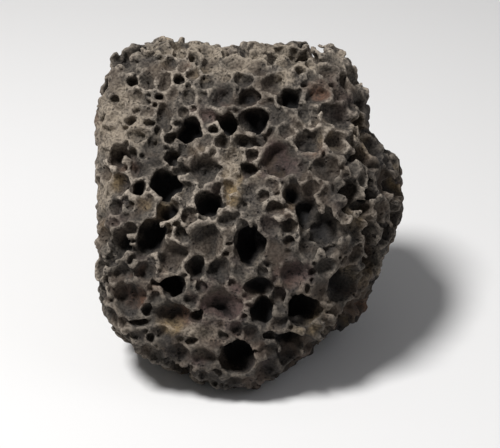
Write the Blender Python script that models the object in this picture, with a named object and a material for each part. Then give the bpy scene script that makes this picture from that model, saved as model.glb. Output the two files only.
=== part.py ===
"""A lump of black scoria, the bubbly lava rock of fire bowls and aquariums, as one solid.

Metres, +Z up. The origin is the middle of the rock's plan, at the height of the broken face that it rests on.
The block is a rounded stone with flattish broken facets. Its show face leans back, and the facets and the
biggest bubbles are set out in that leaning plane: across to the right, up the face, and out of it.
Gas bubbles, called vesicles, are cut out of the block: deep pockets, open bowls and shallow dishes.
"""

import math

import bmesh
import bpy
import numpy as np
from mathutils import Matrix

MM = 0.001

# Driving dimensions, in millimetres and degrees
FACE_LEAN = 30.0
HEART_HEIGHT = 21.0
HEART_BELOW_FACE_MIDDLE = 0.6
EDGE_SHARPNESS = 20.0

# The stone's outline seen straight at the show face: (across, up) from the face's middle, clockwise in mm
OUTLINE = (
    (-24.5, 20.4), (-21.8, 25.8), (-19.0, 28.2), (-13.3, 29.6), (-4.8, 28.9), (5.4, 28.6), (10.5, 29.6),
    (12.9, 28.6), (15.6, 27.2), (18.0, 23.8), (19.7, 20.4), (19.9, 17.0), (20.6, 14.3), (22.8, 11.6),
    (25.2, 8.8), (25.0, 4.0), (25.2, -2.0), (23.8, -4.4), (22.8, -7.5), (21.1, -11.6), (19.4, -15.6),
    (17.7, -18.4), (14.6, -19.4), (11.6, -21.4), (8.5, -23.4), (6.5, -25.5), (3.4, -28.6), (-1.4, -28.9),
    (-4.8, -29.6), (-8.2, -27.9), (-11.5, -26.2), (-15.0, -25.5), (-18.7, -22.6), (-21.4, -20.4),
    (-23.1, -17.7), (-24.1, -15.0), (-24.5, -9.2), (-24.8, 1.0), (-25.2, 6.1), (-25.5, 11.9), (-25.6, 15.5),
)
OUTLINE_DEPTH = 58.0
OUTLINE_TURN = 0.2

# Each facet: the way it looks, as (across, up, out) of the show face, and its distance from the heart in mm
FACETS = {
    "show face, upper": (-0.10, 0.30, 0.95, 17.6),
    "show face, lower": (-0.05, -0.15, 0.99, 18.3),
    "undercut below the face": (0.05, -0.66, 0.75, 26.5),
    "left front": (-0.80, 0.05, 0.60, 26.6),
    "right front, upper": (0.70, 0.30, 0.65, 23.6),
    "right front, lower": (0.72, -0.25, 0.65, 23.0),
    "top": (0.00, 0.87, 0.50, 27.0),
    "back, left": (-0.60, 0.20, -0.77, 23.5),
    "back, right": (0.50, 0.25, -0.83, 21.5),
    "back, low": (0.10, -0.30, -0.95, 21.0),
    "back, high": (0.00, 0.75, -0.66, 25.0),
    "back, low left": (-0.70, -0.40, -0.60, 25.0),
    "back, low right": (0.70, -0.35, -0.62, 25.0),
}

# Broad swellings of the stone: how many, the reach of each as a share, and the length of one in mm
SWELLS, SWELL_SHARE, SWELL_LENGTH = 9, 0.0065, 19.0
SWELL_SEED = 14

# Vesicles of the show side: (across, up, half width, half height) in mm. Position is in the leaning plane
# from the face's middle, and the half sizes are those of the mouth, along the surface.
DEEP_VESICLES = (
    (10.7, 27.9, 1.4, 1.2), (-16.8, 26.2, 1.1, 0.6), (13.3, 20.6, 0.8, 0.5), (-14.5, 18.9, 0.9, 0.6),
    (5.8, 18.0, 1.7, 1.8), (-17.0, 17.9, 0.7, 0.5), (-1.9, 16.5, 0.6, 0.6), (0.7, 15.0, 2.0, 1.9),
    (-16.2, 14.3, 1.0, 0.5), (18.4, 14.1, 1.4, 1.5), (-9.7, 13.1, 1.8, 2.1), (-6.1, 13.1, 0.9, 0.7),
    (-1.2, 11.7, 1.4, 1.0), (21.9, 10.7, 0.9, 0.5), (-21.1, 9.5, 1.7, 1.6), (-12.4, 9.2, 1.1, 1.2),
    (18.2, 9.0, 2.2, 2.0), (-24.1, 7.5, 0.5, 1.0), (-13.4, 4.8, 2.2, 2.4), (20.1, 4.8, 2.0, 2.7),
    (6.3, 3.4, 1.4, 1.9), (2.0, 2.7, 0.8, 0.8), (16.7, 2.4, 2.0, 3.1), (-24.0, 2.0, 0.7, 0.8),
    (-6.3, 1.7, 1.8, 1.9), (-18.9, 1.5, 0.7, 0.7), (3.7, 0.9, 1.0, 1.1), (5.6, -2.2, 1.1, 1.3),
    (11.6, -3.1, 1.8, 2.5), (22.3, -3.1, 1.5, 1.7), (-10.2, -3.2, 0.8, 0.9), (14.8, -3.4, 1.2, 1.0),
    (-15.6, -3.7, 2.2, 2.6), (-20.6, -4.9, 1.5, 2.0), (-0.3, -5.4, 2.3, 2.9), (14.8, -7.5, 0.9, 0.5),
    (20.1, -7.7, 1.9, 2.4), (-8.3, -8.8, 1.2, 1.8), (-12.1, -11.6, 1.8, 2.0), (1.4, -11.6, 1.9, 1.6),
    (-17.2, -12.9, 0.7, 1.2), (8.5, -15.0, 2.6, 2.7), (1.7, -15.3, 1.9, 2.0), (16.3, -16.2, 3.1, 1.9),
    (-17.3, -17.2, 1.4, 0.6), (13.8, -17.2, 0.8, 0.7), (-20.1, -20.1, 1.4, 1.3), (6.6, -20.2, 2.4, 1.9),
    (-2.0, -23.1, 2.7, 2.7),
)
OPEN_VESICLES = (
    (-14.1, 26.5, 1.2, 1.0), (13.9, 25.2, 1.8, 1.8), (-13.4, 24.0, 1.4, 1.2), (-22.8, 23.1, 1.0, 0.9),
    (-9.2, 22.8, 1.0, 0.9), (17.7, 22.4, 2.2, 2.0), (-4.1, 21.4, 1.1, 0.8), (-16.5, 21.2, 1.4, 1.1),
    (-6.8, 21.2, 1.2, 1.2), (-0.9, 21.1, 1.4, 1.6), (3.7, 20.6, 1.7, 1.9), (14.3, 18.9, 1.4, 1.0),
    (-18.7, 18.7, 1.4, 1.2), (-9.4, 18.5, 1.1, 1.6), (-16.7, 16.3, 0.8, 0.8), (-13.8, 15.8, 1.2, 1.9),
    (14.6, 15.3, 2.9, 2.1), (11.9, 14.6, 0.9, 1.0), (-23.5, 11.9, 0.7, 0.7), (9.0, 11.6, 2.3, 2.1),
    (13.9, 11.4, 2.0, 2.0), (-15.3, 11.1, 1.1, 1.4), (3.7, 8.8, 0.9, 0.7), (8.0, 7.3, 1.0, 1.3),
    (-7.1, 7.1, 2.2, 2.4), (11.6, 7.1, 2.3, 2.2), (-4.2, 6.6, 1.0, 1.2), (22.4, 5.1, 2.0, 2.4),
    (-20.9, 4.8, 1.7, 1.9), (11.7, 2.6, 1.4, 1.4), (-21.4, -1.5, 0.9, 0.8), (-3.4, -1.7, 1.4, 1.0),
    (3.1, -2.4, 1.4, 1.7), (17.2, -2.4, 2.4, 1.9), (9.2, -5.3, 1.3, 1.9), (-11.9, -6.8, 2.3, 2.2),
    (11.9, -8.5, 1.3, 1.7), (3.6, -8.7, 0.8, 0.7), (-4.9, -9.2, 1.9, 2.0), (-16.2, -9.4, 1.4, 1.6),
    (15.3, -11.2, 3.4, 2.7), (-19.2, -13.6, 2.6, 2.4), (11.4, -15.6, 1.5, 1.4), (-12.2, -16.2, 2.9, 2.0),
    (-23.0, -17.7, 1.0, 1.5), (-2.0, -18.7, 1.2, 1.5), (-11.6, -22.6, 2.1, 2.0), (-16.0, -22.8, 2.0, 2.0),
    (3.1, -25.2, 2.0, 2.0), (-6.5, -26.9, 1.7, 1.4),
)
DISH_VESICLES = (
    (-19.7, 24.1, 1.5, 1.4), (-10.9, 24.1, 0.9, 1.0), (-2.0, 24.1, 2.2, 1.4), (6.1, 24.1, 1.7, 1.4),
    (-16.7, 24.0, 1.3, 0.9), (10.0, 21.9, 1.0, 1.0), (6.6, 21.2, 1.1, 1.2), (-21.4, 20.7, 1.2, 1.0),
    (-12.1, 19.0, 0.9, 1.0), (10.5, 18.7, 2.0, 1.7), (-4.4, 18.5, 2.0, 1.8), (-6.3, 15.5, 1.6, 1.4),
    (-21.8, 15.5, 1.2, 1.1), (4.1, 15.0, 1.4, 1.4), (-20.7, 12.2, 1.1, 0.9), (-7.1, 11.4, 1.2, 1.1),
    (4.1, 8.5, 3.2, 2.7), (-17.3, 7.3, 1.5, 1.4), (0.0, 4.1, 1.5, 1.7), (13.9, 4.1, 1.7, 2.0),
    (-10.2, 3.6, 1.5, 1.9), (-1.4, 1.4, 1.4, 1.7), (-16.5, 1.2, 1.6, 1.7), (-7.1, -4.8, 3.1, 2.6),
    (3.6, -5.3, 1.6, 1.5), (-20.1, -9.5, 1.9, 2.0), (6.5, -9.7, 2.0, 2.3), (-4.4, -14.3, 3.1, 2.7),
    (-7.0, -18.9, 1.6, 1.6), (-13.9, -19.0, 1.4, 1.2), (0.5, -19.4, 1.7, 1.9), (-7.1, -23.1, 2.4, 2.0),
)

# How each kind of vesicle sits: its height over its mouth's mean half size, and how far its middle lies
# above the surface, as a share of that height
DEEP, OPEN, DISH = (1.7, -0.5), (1.05, 0.0), (1.25, 0.4)

# How much wider the rims of each kind are than the sizes above
DEEP_GROWTH, OPEN_GROWTH, DISH_GROWTH = 0.94, 1.08, 1.06

# A deep or an open vesicle needs stone behind it: how far down that is asked, over the mouth's radius, and
# how far the surface must be from there, over that depth. Without it the vesicle is of the next kind.
DEEP_ROOM, OPEN_ROOM = 2.6, 1.8
COVER_NEEDED = 0.8

# Vesicles of the other sides, scattered: mouth radius in mm and how many at most
SCATTER_SIZES = ((2.7, 26), (2.2, 55), (1.7, 80))
SCATTER_TRIES = 3000
SCATTER_SEED = 11
CROWDING = 0.98
KIND_SHARES = ((DEEP, 0.35), (OPEN, 0.40), (DISH, 0.25))
STRETCHES = (0.85, 1.18)
SMALLEST_CUT = 1.0
REST_MARK_RADIUS = 4.0

# Where the search for the surface of the show side starts and stops, out of the face's plane in mm
DEEPEST, HIGHEST = -10.0, 45.0
HALVINGS = 40

OUTLINE_SOFTENING = 0.05
SLOPE_STEP = 0.4
END_ON = 0.2
HULL_FINENESS = 4
FINE_CUTTER_FROM = 1.9
CUTTER_ROUGHNESS = 0.06
TRIANGLES_KEPT = 9800
SHARP_FROM = 40.0
GROUND_SIZE = 200.0
LEVELLED_BELOW = 0.1

ACROSS = np.array([1.0, 0.0, 0.0])
UP = np.array([0.0, math.sin(math.radians(FACE_LEAN)), math.cos(math.radians(FACE_LEAN))])
OUT = np.cross(ACROSS, UP)
HEART = np.array([0.0, 0.0, HEART_HEIGHT])


def outline_reach(angles):
    """The outline's distance from the heart at angles turned from across towards up, in mm."""
    across, up = np.array(OUTLINE).T
    up = up + HEART_BELOW_FACE_MIDDLE
    bearings, distances = np.arctan2(up, across), np.hypot(across, up)
    order = np.argsort(bearings)
    bearings, distances = bearings[order], distances[order]
    turns = (-OUTLINE_SOFTENING, 0.0, OUTLINE_SOFTENING)
    return sum(np.interp(angles + turn, bearings, distances, period=2 * math.pi) for turn in turns) / len(turns)


def swelling(directions):
    """A few broad waves over the stone, in directions and starts drawn once: the share they add to its reach."""
    rng = np.random.default_rng(SWELL_SEED)
    ways = rng.normal(size=(SWELLS, 3))
    ways *= 2 * math.pi * HEART_HEIGHT / SWELL_LENGTH / np.linalg.norm(ways, axis=1, keepdims=True)
    starts = rng.uniform(0, 2 * math.pi, SWELLS)
    return SWELL_SHARE * np.cos(directions @ ways.T + starts).sum(axis=1)


def hull_reach(directions):
    """The stone's reach from its heart along unit directions, before it is cut flat below, in mm.

    Each facet alone would stop a ray at distance / cosine. The outline is the rim of a deep ellipsoid that
    turns a little along its depth. The power mean of all of them follows the nearest and rounds the edges.
    """
    rows = np.array(list(FACETS.values()))
    normals = rows[:, :3] / np.linalg.norm(rows[:, :3], axis=1, keepdims=True)
    leaning = directions @ np.stack([ACROSS, UP, OUT], axis=1)
    across, up, out = leaning.T
    closeness = np.clip(leaning @ normals.T, 0.0, None) / rows[:, 3]
    rim = outline_reach(np.arctan2(up, across) + OUTLINE_TURN * out)
    rim_closeness = np.sqrt((across**2 + up**2) / rim**2 + out**2 / OUTLINE_DEPTH**2)
    total = (closeness**EDGE_SHARPNESS).sum(axis=1) + rim_closeness**EDGE_SHARPNESS
    return total ** (-1.0 / EDGE_SHARPNESS) * (1.0 + swelling(directions))


def hull_gap(points):
    """How far each point lies outside the hull, along the line from the heart, negative inside, in mm."""
    spokes = points - HEART
    lengths = np.linalg.norm(spokes, axis=1)
    outside = lengths - hull_reach(spokes / lengths[:, None])
    return np.maximum(outside, -points[:, 2])


def hull_normals(points):
    """The hull's outward unit normals, from the slope of the gap."""
    steps = SLOPE_STEP * np.eye(3)
    slopes = [hull_gap(points + step) - hull_gap(points - step) for step in steps]
    normals = np.stack(slopes, axis=1)
    return normals / np.linalg.norm(normals, axis=1, keepdims=True)


def on_show_side(across, up):
    """Points on the hull met first by lines coming straight at the show face, in mm."""
    up = up + HEART_BELOW_FACE_MIDDLE
    foot = HEART + np.outer(across, ACROSS) + np.outer(up, UP)
    inner, outer = np.full(len(foot), DEEPEST), np.full(len(foot), HIGHEST)
    for _ in range(HALVINGS):
        middle = (inner + outer) / 2
        inside = hull_gap(foot + middle[:, None] * OUT) < 0
        inner, outer = np.where(inside, middle, inner), np.where(inside, outer, middle)
    return foot + inner[:, None] * OUT


def along_rays(directions):
    """Points where rays from the heart leave the stone, through the hull or the flat below, in mm."""
    reach = hull_reach(directions)
    down = np.clip(-directions[:, 2], 1e-6, None)
    return HEART + directions * np.minimum(reach, HEART_HEIGHT / down)[:, None]


def show_side_vesicles():
    """The vesicles set out by hand: point on the hull, half width, half height and kind of each."""
    placed = []
    for rows, kind, growth in (
        (DEEP_VESICLES, DEEP, DEEP_GROWTH),
        (OPEN_VESICLES, OPEN, OPEN_GROWTH),
        (DISH_VESICLES, DISH, DISH_GROWTH),
    ):
        across, up, half_width, half_height = np.array(rows).T
        points = on_show_side(across, up)
        halves = growth * np.array([half_width, half_height]).T
        placed += [(point, *half, kind) for point, half in zip(points, halves)]
    return placed


def scattered_vesicles(placed, rng):
    """More vesicles, large ones first, dropped where they fit between those already there."""
    centres = [p for p, _, _, _ in placed] + [np.zeros(3)]
    radii = [(a + b) / 2 for _, a, b, _ in placed] + [REST_MARK_RADIUS]
    kinds, shares = zip(*KIND_SHARES)
    found = []
    for radius, most in SCATTER_SIZES:
        directions = rng.normal(size=(SCATTER_TRIES, 3))
        directions /= np.linalg.norm(directions, axis=1, keepdims=True)
        stretches = rng.uniform(*STRETCHES, SCATTER_TRIES)
        choices = rng.choice(len(kinds), SCATTER_TRIES, p=shares)
        added = 0
        for point, stretch, choice in zip(along_rays(directions), stretches, choices):
            apart = np.linalg.norm(np.array(centres) - point, axis=1)
            if added == most or (apart < CROWDING * (np.array(radii) + radius)).any():
                continue
            centres.append(point)
            radii.append(radius)
            found.append((point, radius * stretch, radius / stretch, kinds[choice]))
            added += 1
    return found


def settled_kind(point, normal, radius, kind):
    """The kind that a vesicle can be where it is: a shallower one where the stone is thin behind it."""
    for deeper, shallower, room in ((DEEP, OPEN, DEEP_ROOM), (OPEN, DISH, OPEN_ROOM)):
        depth = room * radius
        cover = -hull_gap((point - normal * depth)[None, :])[0]
        if kind is deeper and cover < COVER_NEEDED * depth:
            kind = shallower
    return kind


def finished_mesh(bm, name):
    """Turns a bmesh into a mesh of that name."""
    mesh = bpy.data.meshes.new(name)
    bm.to_mesh(mesh)
    bm.free()
    return mesh


def add_cutter(bm, point, normal, half_width, half_height, kind, rng):
    """Adds one vesicle to the cutter: an ellipsoid whose cut through the surface has the given half sizes."""
    slenderness, lift = kind
    height = slenderness * (half_width + half_height) / 2
    mouth_share = math.sqrt(1.0 - lift**2)
    sideways = ACROSS - normal * (normal @ ACROSS)
    if np.linalg.norm(sideways) < END_ON:
        sideways = UP - normal * (normal @ UP)
    sideways /= np.linalg.norm(sideways)
    axes = np.stack([sideways, np.cross(normal, sideways), normal], axis=1)
    halves = np.array([half_width / mouth_share, half_height / mouth_share, height])
    frame = Matrix.Translation((point + normal * lift * height) * MM)
    frame = frame @ Matrix((axes * halves * MM).tolist()).to_4x4()
    fineness = 2 if (half_width + half_height) / 2 >= FINE_CUTTER_FROM else 1
    made = bmesh.ops.create_icosphere(bm, subdivisions=fineness, radius=1.0)["verts"]
    for vert, bulge in zip(made, rng.uniform(-1.0, 1.0, len(made))):
        vert.co *= 1.0 + CUTTER_ROUGHNESS * bulge
    bmesh.ops.transform(bm, matrix=frame, verts=made)


def build_block():
    """The uncut stone: an icosphere drawn out to the hull."""
    bm = bmesh.new()
    bmesh.ops.create_icosphere(bm, subdivisions=HULL_FINENESS, radius=1.0)
    directions = np.array([vert.co.normalized() for vert in bm.verts])
    points = (HEART + directions * hull_reach(directions)[:, None]) * MM
    for vert, point in zip(bm.verts, points):
        vert.co = point
    return finished_mesh(bm, "lava_rock")


def build_ground():
    """A slab whose upper face is the flat break that the stone rests on."""
    bm = bmesh.new()
    bmesh.ops.create_cube(bm, size=GROUND_SIZE * MM)
    bmesh.ops.translate(bm, vec=(0.0, 0.0, -GROUND_SIZE / 2 * MM), verts=bm.verts)
    return finished_mesh(bm, "ground")


def build_cutter():
    """All the vesicles in one mesh."""
    rng = np.random.default_rng(SCATTER_SEED)
    vesicles = show_side_vesicles()
    vesicles += scattered_vesicles(vesicles, rng)
    vesicles = [v for v in vesicles if (v[1] + v[2]) / 2 >= SMALLEST_CUT]
    normals = hull_normals(np.array([point for point, _, _, _ in vesicles]))
    bm = bmesh.new()
    for (point, half_width, half_height, kind), normal in zip(vesicles, normals):
        kind = settled_kind(point, normal, (half_width + half_height) / 2, kind)
        add_cutter(bm, point, normal, half_width, half_height, kind, rng)
    return finished_mesh(bm, "vesicles")


def keep_largest_body(mesh):
    """Drops the crumbs that neighbouring vesicles cut free."""
    bm = bmesh.new()
    bm.from_mesh(mesh)
    unseen = set(bm.faces)
    bodies = []
    while unseen:
        body, growing = set(), [unseen.pop()]
        while growing:
            face = growing.pop()
            body.add(face)
            near = {other for edge in face.edges for other in edge.link_faces} & unseen
            unseen -= near
            growing += near
        bodies.append(body)
    bodies.sort(key=len)
    for body in bodies[:-1]:
        bmesh.ops.delete(bm, geom=list(body), context="FACES")
    bm.to_mesh(mesh)
    bm.free()


def stand_on_origin(mesh):
    """Levels what thinning lifted or sank at the resting face, and puts the middle of the plan at the origin."""
    points = np.array([vert.co for vert in mesh.vertices])
    middle = (points.min(axis=0) + points.max(axis=0)) / 2
    points -= (middle[0], middle[1], 0.0)
    points[points[:, 2] < LEVELLED_BELOW * MM, 2] = 0.0
    mesh.vertices.foreach_set("co", points.ravel())
    mesh.update()


def lava_material():
    """Dark warm-grey volcanic glass and stone, rough and matt."""
    material = bpy.data.materials.new("scoria")
    material.use_nodes = True
    shader = material.node_tree.nodes["Principled BSDF"]
    shader.inputs["Base Color"].default_value = (0.072, 0.060, 0.053, 1.0)
    shader.inputs["Roughness"].default_value = 0.9
    shader.inputs["Metallic"].default_value = 0.0
    return material


def in_scene(name, mesh):
    """Puts a mesh in the scene as an object of that name."""
    item = bpy.data.objects.new(name, mesh)
    bpy.context.scene.collection.objects.link(item)
    return item


def take_modifiers(stone):
    """Makes what the stone's modifiers draw into its own mesh."""
    graph = bpy.context.evaluated_depsgraph_get()
    drawn = bpy.data.meshes.new_from_object(stone.evaluated_get(graph), depsgraph=graph)
    stone.modifiers.clear()
    stone.data = drawn


def cut_away(stone, name, mesh):
    """Takes a cutter's shape out of the stone. The cutter may cross itself, as neighbouring vesicles do."""
    cutter = in_scene(name, mesh)
    cutter.hide_render = True
    cutter.display_type = "WIRE"
    cut = stone.modifiers.new(name, "BOOLEAN")
    cut.operation = "DIFFERENCE"
    cut.solver = "EXACT"
    cut.use_self = True
    cut.object = cutter
    take_modifiers(stone)
    bpy.data.objects.remove(cutter)
    keep_largest_body(stone.data)


def thin_out(stone):
    """Collapses the stone's smallest facets until about the kept number of triangles is left."""
    stone.data.calc_loop_triangles()
    thin = stone.modifiers.new("thin", "DECIMATE")
    thin.use_collapse_triangulate = True
    thin.ratio = TRIANGLES_KEPT / len(stone.data.loop_triangles)
    take_modifiers(stone)


def main():
    for old in list(bpy.data.objects):
        bpy.data.objects.remove(old)
    stone = in_scene("lava_rock", build_block())
    cut_away(stone, "ground", build_ground())
    cut_away(stone, "vesicles", build_cutter())
    thin_out(stone)
    stand_on_origin(stone.data)
    stone.data.shade_smooth()
    stone.data.set_sharp_from_angle(angle=math.radians(SHARP_FROM))
    stone.data.name = "lava_rock"
    stone.data.materials.clear()
    stone.data.materials.append(lava_material())


main()
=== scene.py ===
"""Finishes a lump of black scoria, the bubbly lava rock of fire bowls and aquariums.

The stone is worked out as a field of distances on a fine grid: a rounded block with flattish breaks, less
every gas bubble that opens on it, and roughened. The skin where the distance is nought becomes its mesh.
Lengths are in millimetres until a mesh is made.
"""

import logging
import math
from dataclasses import dataclass, field
from enum import Enum

import bpy
import numpy as np
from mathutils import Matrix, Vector


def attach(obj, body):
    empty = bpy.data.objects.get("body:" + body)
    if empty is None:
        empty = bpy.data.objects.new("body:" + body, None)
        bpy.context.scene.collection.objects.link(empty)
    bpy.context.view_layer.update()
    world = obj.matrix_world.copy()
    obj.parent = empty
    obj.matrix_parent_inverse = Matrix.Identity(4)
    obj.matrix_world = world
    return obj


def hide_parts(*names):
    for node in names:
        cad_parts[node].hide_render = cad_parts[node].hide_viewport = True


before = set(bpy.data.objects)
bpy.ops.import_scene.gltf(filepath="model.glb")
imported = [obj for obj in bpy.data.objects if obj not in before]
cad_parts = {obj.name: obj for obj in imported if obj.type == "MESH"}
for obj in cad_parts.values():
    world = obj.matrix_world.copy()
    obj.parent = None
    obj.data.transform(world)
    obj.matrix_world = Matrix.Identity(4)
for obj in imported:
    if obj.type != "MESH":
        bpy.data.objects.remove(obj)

log = logging.getLogger("lava_rock")

MM = 0.001
# The show face leans back by this many degrees, and its own directions are across, up it and out of it
FACE_LEAN = 30.0
ACROSS = np.array([1.0, 0.0, 0.0])
UP = np.array([0.0, math.sin(math.radians(FACE_LEAN)), math.cos(math.radians(FACE_LEAN))])
OUT = np.cross(ACROSS, UP)
LEANING = np.stack([ACROSS, UP, OUT], axis=1)
SMALL = 1e-6


def unit(rows: np.ndarray) -> np.ndarray:
    """Scales each row to a length of 1."""
    return rows / np.linalg.norm(rows, axis=1, keepdims=True)


def random_directions(rng: np.random.Generator, count: int) -> np.ndarray:
    """Draws unit vectors that point every way alike, one a row."""
    return unit(rng.normal(size=(count, 3)))


class VesicleKind(Enum):
    """How a gas bubble sits in the surface: its height over its mouth's half size, and its middle's lift."""

    DEEP = (1.7, -0.5)
    OPEN = (1.05, 0.0)
    DISH = (1.25, 0.4)
    COLLAR = (1.0, 0.65)

    @property
    def slenderness(self) -> float:
        """Height over the mean half size of the mouth."""
        return self.value[0]

    @property
    def lift(self) -> float:
        """How far the middle lies above the surface, as a share of the height."""
        return self.value[1]


# Vesicles of the show side: (across, up, half width, half height) in the leaning plane, from its middle
SHOW_SIDE_VESICLES = {
    VesicleKind.DEEP: (
        (10.7, 27.9, 1.4, 1.2), (-16.8, 26.2, 1.1, 0.6), (13.3, 20.6, 0.8, 0.5), (-14.5, 18.9, 0.9, 0.6),
        (5.8, 18.0, 1.7, 1.8), (-17.0, 17.9, 0.7, 0.5), (-1.9, 16.5, 0.6, 0.6), (0.7, 15.0, 2.0, 1.9),
        (-16.2, 14.3, 1.0, 0.5), (18.4, 14.1, 1.4, 1.5), (-9.7, 13.1, 1.8, 2.1), (-6.1, 13.1, 0.9, 0.7),
        (-1.2, 11.7, 1.4, 1.0), (21.9, 10.7, 0.9, 0.5), (-21.1, 9.5, 1.7, 1.6), (-12.4, 9.2, 1.1, 1.2),
        (18.2, 9.0, 2.2, 2.0), (-24.1, 7.5, 0.5, 1.0), (-13.4, 4.8, 2.2, 2.4), (20.1, 4.8, 2.0, 2.7),
        (6.3, 3.4, 1.4, 1.9), (2.0, 2.7, 0.8, 0.8), (16.7, 2.4, 2.0, 3.1), (-24.0, 2.0, 0.7, 0.8),
        (-6.3, 1.7, 1.8, 1.9), (-18.9, 1.5, 0.7, 0.7), (3.7, 0.9, 1.0, 1.1), (5.6, -2.2, 1.1, 1.3),
        (11.6, -3.1, 1.8, 2.5), (22.3, -3.1, 1.5, 1.7), (-10.2, -3.2, 0.8, 0.9), (14.8, -3.4, 1.2, 1.0),
        (-15.6, -3.7, 2.2, 2.6), (-20.6, -4.9, 1.5, 2.0), (-0.3, -5.4, 2.3, 2.9), (14.8, -7.5, 0.9, 0.5),
        (20.1, -7.7, 1.9, 2.4), (-8.3, -8.8, 1.2, 1.8), (-12.1, -11.6, 1.8, 2.0), (1.4, -11.6, 1.9, 1.6),
        (-17.2, -12.9, 0.7, 1.2), (8.5, -15.0, 2.6, 2.7), (1.7, -15.3, 1.9, 2.0), (16.3, -16.2, 3.1, 1.9),
        (-17.3, -17.2, 1.4, 0.6), (13.8, -17.2, 0.8, 0.7), (-20.1, -20.1, 1.4, 1.3), (6.6, -20.2, 2.4, 1.9),
        (-2.0, -23.1, 2.7, 2.7),
    ),
    VesicleKind.OPEN: (
        (-14.1, 26.5, 1.2, 1.0), (13.9, 25.2, 1.8, 1.8), (-13.4, 24.0, 1.4, 1.2), (-22.8, 23.1, 1.0, 0.9),
        (-9.2, 22.8, 1.0, 0.9), (17.7, 22.4, 2.2, 2.0), (-4.1, 21.4, 1.1, 0.8), (-16.5, 21.2, 1.4, 1.1),
        (-6.8, 21.2, 1.2, 1.2), (-0.9, 21.1, 1.4, 1.6), (3.7, 20.6, 1.7, 1.9), (14.3, 18.9, 1.4, 1.0),
        (-18.7, 18.7, 1.4, 1.2), (-9.4, 18.5, 1.1, 1.6), (-16.7, 16.3, 0.8, 0.8), (-13.8, 15.8, 1.2, 1.9),
        (14.6, 15.3, 2.9, 2.1), (11.9, 14.6, 0.9, 1.0), (-23.5, 11.9, 0.7, 0.7), (9.0, 11.6, 2.3, 2.1),
        (13.9, 11.4, 2.0, 2.0), (-15.3, 11.1, 1.1, 1.4), (3.7, 8.8, 0.9, 0.7), (8.0, 7.3, 1.0, 1.3),
        (-7.1, 7.1, 2.2, 2.4), (11.6, 7.1, 2.3, 2.2), (-4.2, 6.6, 1.0, 1.2), (22.4, 5.1, 2.0, 2.4),
        (-20.9, 4.8, 1.7, 1.9), (11.7, 2.6, 1.4, 1.4), (-21.4, -1.5, 0.9, 0.8), (-3.4, -1.7, 1.4, 1.0),
        (3.1, -2.4, 1.4, 1.7), (17.2, -2.4, 2.4, 1.9), (9.2, -5.3, 1.3, 1.9), (-11.9, -6.8, 2.3, 2.2),
        (11.9, -8.5, 1.3, 1.7), (3.6, -8.7, 0.8, 0.7), (-4.9, -9.2, 1.9, 2.0), (-16.2, -9.4, 1.4, 1.6),
        (15.3, -11.2, 3.4, 2.7), (-19.2, -13.6, 2.6, 2.4), (11.4, -15.6, 1.5, 1.4), (-12.2, -16.2, 2.9, 2.0),
        (-23.0, -17.7, 1.0, 1.5), (-2.0, -18.7, 1.2, 1.5), (-11.6, -22.6, 2.1, 2.0), (-16.0, -22.8, 2.0, 2.0),
        (3.1, -25.2, 2.0, 2.0), (-6.5, -26.9, 1.7, 1.4),
    ),
    VesicleKind.DISH: (
        (-19.7, 24.1, 1.5, 1.4), (-10.9, 24.1, 0.9, 1.0), (-2.0, 24.1, 2.2, 1.4), (6.1, 24.1, 1.7, 1.4),
        (-16.7, 24.0, 1.3, 0.9), (10.0, 21.9, 1.0, 1.0), (6.6, 21.2, 1.1, 1.2), (-21.4, 20.7, 1.2, 1.0),
        (-12.1, 19.0, 0.9, 1.0), (10.5, 18.7, 2.0, 1.7), (-4.4, 18.5, 2.0, 1.8), (-6.3, 15.5, 1.6, 1.4),
        (-21.8, 15.5, 1.2, 1.1), (4.1, 15.0, 1.4, 1.4), (-20.7, 12.2, 1.1, 0.9), (-7.1, 11.4, 1.2, 1.1),
        (4.1, 8.5, 3.2, 2.7), (-17.3, 7.3, 1.5, 1.4), (0.0, 4.1, 1.5, 1.7), (13.9, 4.1, 1.7, 2.0),
        (-10.2, 3.6, 1.5, 1.9), (-1.4, 1.4, 1.4, 1.7), (-16.5, 1.2, 1.6, 1.7), (-7.1, -4.8, 3.1, 2.6),
        (3.6, -5.3, 1.6, 1.5), (-20.1, -9.5, 1.9, 2.0), (6.5, -9.7, 2.0, 2.3), (-4.4, -14.3, 3.1, 2.7),
        (-7.0, -18.9, 1.6, 1.6), (-13.9, -19.0, 1.4, 1.2), (0.5, -19.4, 1.7, 1.9), (-7.1, -23.1, 2.4, 2.0),
    ),
}
# The kinds that are drawn at random over the rest
KINDS = tuple(SHOW_SIDE_VESICLES)


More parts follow.
